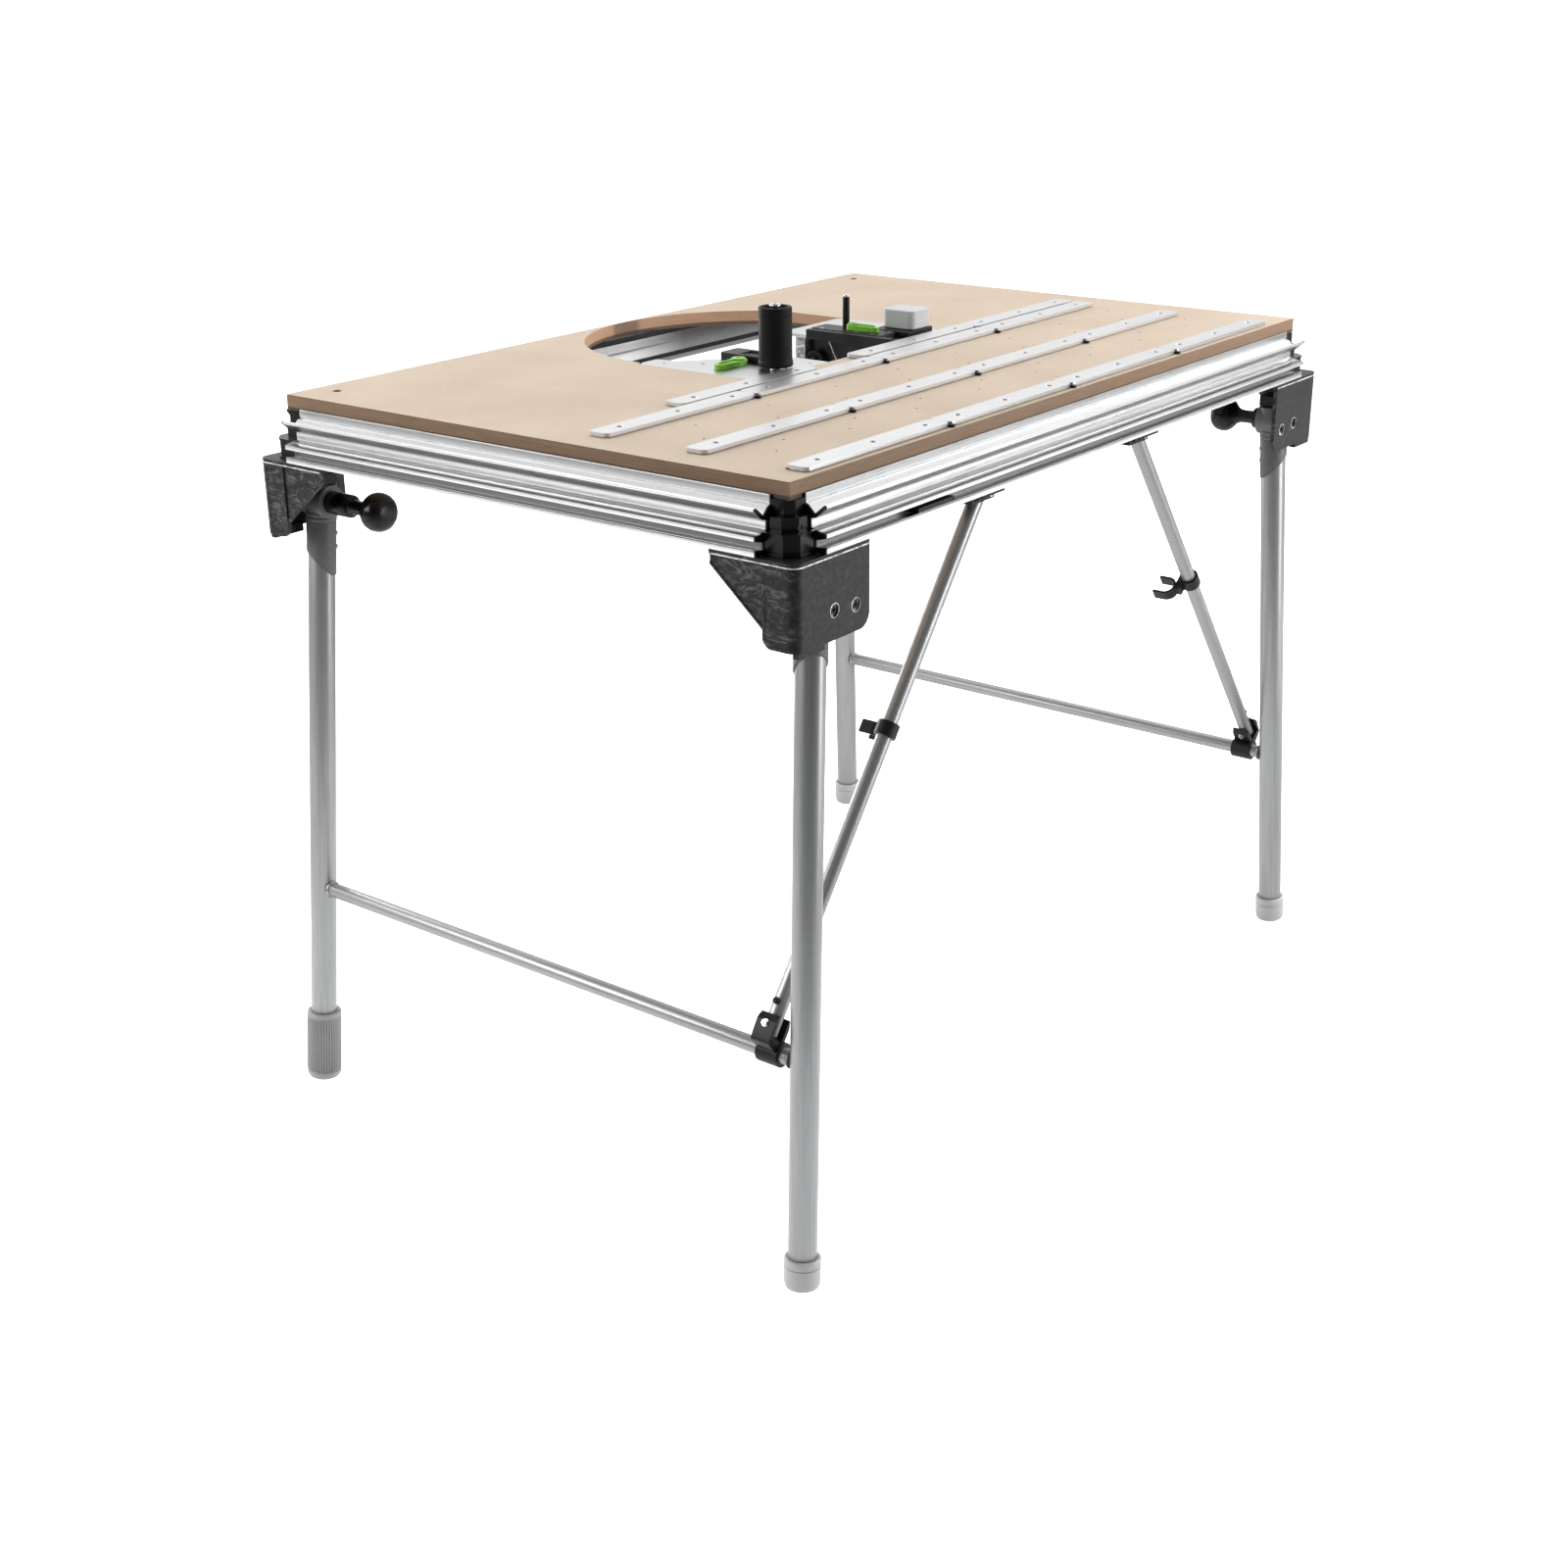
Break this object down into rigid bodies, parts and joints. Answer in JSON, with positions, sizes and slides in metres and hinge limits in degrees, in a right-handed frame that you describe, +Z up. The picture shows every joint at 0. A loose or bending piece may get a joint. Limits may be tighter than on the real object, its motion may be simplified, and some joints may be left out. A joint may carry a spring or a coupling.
{
  "type": "folding work table with machine cut-out",
  "caption": "Folding wooden-topped work table with grooved metal edge profiles, splayed folding legs with diagonal struts, guide rails and an edge tool module beside a round machine cut-out.",
  "frame": {"origin": "on the floor under the middle of the table", "axes": "+X along the long side, +Y along the short side, +Z up"},
  "size_m": [1.1903, 0.8111, 0.9575],
  "materials": {
    "board": "raw board, matt",
    "profile": "satin extrusion",
    "rail": "satin",
    "plate": "satin",
    "bracket": "mottled cast surface",
    "leg_head": "smooth cast surface",
    "tube": "satin light grey",
    "foot": "matt",
    "black_plastic": "matt",
    "gloss_black": "gloss",
    "lever": "satin bright green",
    "cap": "fine texture",
    "tool_cast": "mottled cast surface",
    "bright": "polished"
  },
  "bodies": {
    "table": {"table_top": "board", "profile_front": "profile", "profile_back": "profile", "profile_left": "profile", "profile_right": "profile", "corner_block_left_front": "gloss_black", "bracket_left_front": "bracket", "corner_block_left_back": "gloss_black", "bracket_left_back": "bracket", "corner_block_right_front": "gloss_black", "bracket_right_front": "bracket", "corner_block_right_back": "gloss_black", "bracket_right_back": "bracket", "rail_row_1": "rail", "rail_row_2": "rail", "rail_row_3": "rail", "rail_row_4_left": "rail", "rail_row_4_right": "rail", "adapter_plate": "plate", "carrier_plate": "plate", "roller_spindle": "bright", "lever_arm": "black_plastic", "stop_plate": "black_plastic", "guide_pin": "black_plastic", "block_base": "black_plastic", "cap_block": "cap", "tool_mount": "tool_cast", "tool_body": "black_plastic", "spring_wire": "bright", "profile_catch": "black_plastic"},
    "left_legs": {"leg_head_left_front": "leg_head", "leg_head_left_back": "leg_head", "leg_tube_left_front": "tube", "leg_tube_left_back": "tube", "foot_cap_left_front": "foot", "left_crossbar": "tube"},
    "right_legs": {"leg_head_right_front": "leg_head", "leg_head_right_back": "leg_head", "leg_tube_right_front": "tube", "leg_tube_right_back": "tube", "foot_cap_right_front": "foot", "foot_cap_right_back": "foot", "right_crossbar": "tube"},
    "left_clamp": {"left_strut_clamp": "black_plastic"},
    "left_strut_arm": {"left_strut": "tube", "left_strut_clip": "black_plastic", "left_strut_hook": "black_plastic"},
    "left_knob": {"left_fold_knob": "gloss_black"},
    "left_button": {"left_strut_button": "black_plastic"},
    "right_clamp": {"right_strut_clamp": "black_plastic"},
    "right_strut_arm": {"right_strut": "tube", "right_strut_clip": "black_plastic", "right_strut_hook": "black_plastic"},
    "right_knob": {"right_fold_knob": "gloss_black"},
    "right_button": {"right_strut_button": "black_plastic"},
    "levelling_foot": {"levelling_foot": "foot"},
    "roller": {"roller": "black_plastic"},
    "cam_lever_left": {"cam_lever_left": "lever"},
    "cam_lever_right": {"cam_lever_right": "lever"},
    "edge_wheel": {"edge_wheel": "black_plastic"}
  },
  "joints": [
    {"name": "left_legs_fold", "type": "hinge", "parent": "table", "child": "left_legs", "pos_m": [-0.516, 0, 0.75], "axis": [0, -1, 0], "range_deg": [0, 97]},
    {"name": "right_legs_fold", "type": "hinge", "parent": "table", "child": "right_legs", "pos_m": [0.516, 0, 0.75], "axis": [0, 1, 0], "range_deg": [0, 92]},
    {"name": "left_clamp_turn", "type": "hinge", "parent": "left_legs", "child": "left_clamp", "pos_m": [-0.55431, -0.333, 0.263], "axis": [0, -1, 0], "range_deg": [-97, 0]},
    {"name": "left_strut_swing", "type": "hinge", "parent": "left_clamp", "child": "left_strut_arm", "pos_m": [-0.5551, -0.333, 0.294], "axis": [-0.7944, 0, 0.6074], "range_deg": [0, 90]},
    {"name": "left_knob_turn", "type": "hinge", "parent": "left_legs", "child": "left_knob", "pos_m": [-0.516, 0.339, 0.75], "axis": [0, -1, 0], "range_deg": [0, 360]},
    {"name": "left_button_press", "type": "slide", "parent": "left_strut_arm", "child": "left_button", "axis": [0.7944, 0, -0.6074], "range_m": [0, 0.003], "stiffness_N_per_m": 400, "springref_m": -0.002},
    {"name": "right_clamp_turn", "type": "hinge", "parent": "right_legs", "child": "right_clamp", "pos_m": [0.55431, -0.333, 0.263], "axis": [0, 1, 0], "range_deg": [-92, 0]},
    {"name": "right_strut_swing", "type": "hinge", "parent": "right_clamp", "child": "right_strut_arm", "pos_m": [0.5551, -0.333, 0.294], "axis": [-0.7944, 0, -0.6074], "range_deg": [0, 90]},
    {"name": "right_knob_turn", "type": "hinge", "parent": "right_legs", "child": "right_knob", "pos_m": [0.516, -0.339, 0.75], "axis": [0, 1, 0], "range_deg": [0, 360]},
    {"name": "right_button_press", "type": "slide", "parent": "right_strut_arm", "child": "right_button", "axis": [-0.7944, 0, -0.6074], "range_m": [0, 0.003], "stiffness_N_per_m": 400, "springref_m": -0.002},
    {"name": "levelling_foot_slide", "type": "slide", "parent": "left_legs", "child": "levelling_foot", "axis": [-0.0784, 0.0361, -0.9963], "range_m": [0, 0.02]},
    {"name": "roller_spin", "type": "hinge", "parent": "table", "child": "roller", "pos_m": [-0.116, -0.007, 0.8838], "axis": [0, 0, 1], "continuous": true},
    {"name": "cam_lever_left_turn", "type": "hinge", "parent": "table", "child": "cam_lever_left", "pos_m": [-0.1215, 0.045, 0.8803], "axis": [0, 0, 1], "range_deg": [-90, 0]},
    {"name": "cam_lever_right_turn", "type": "hinge", "parent": "table", "child": "cam_lever_right", "pos_m": [0.113, 0.045, 0.8884], "axis": [0, 0, 1], "range_deg": [0, 90]},
    {"name": "edge_wheel_spin", "type": "hinge", "parent": "table", "child": "edge_wheel", "pos_m": [0.093, 0.088, 0.848], "axis": [1, 0, 0], "continuous": true}
  ],
  "couplings": [
    {"joint": "left_clamp_turn", "follows": "left_legs_fold", "ratio": -1},
    {"joint": "left_strut_swing", "follows": "left_legs_fold", "ratio": 0.92783},
    {"joint": "right_clamp_turn", "follows": "right_legs_fold", "ratio": -1},
    {"joint": "right_strut_swing", "follows": "right_legs_fold", "ratio": 0.97826}
  ]
}
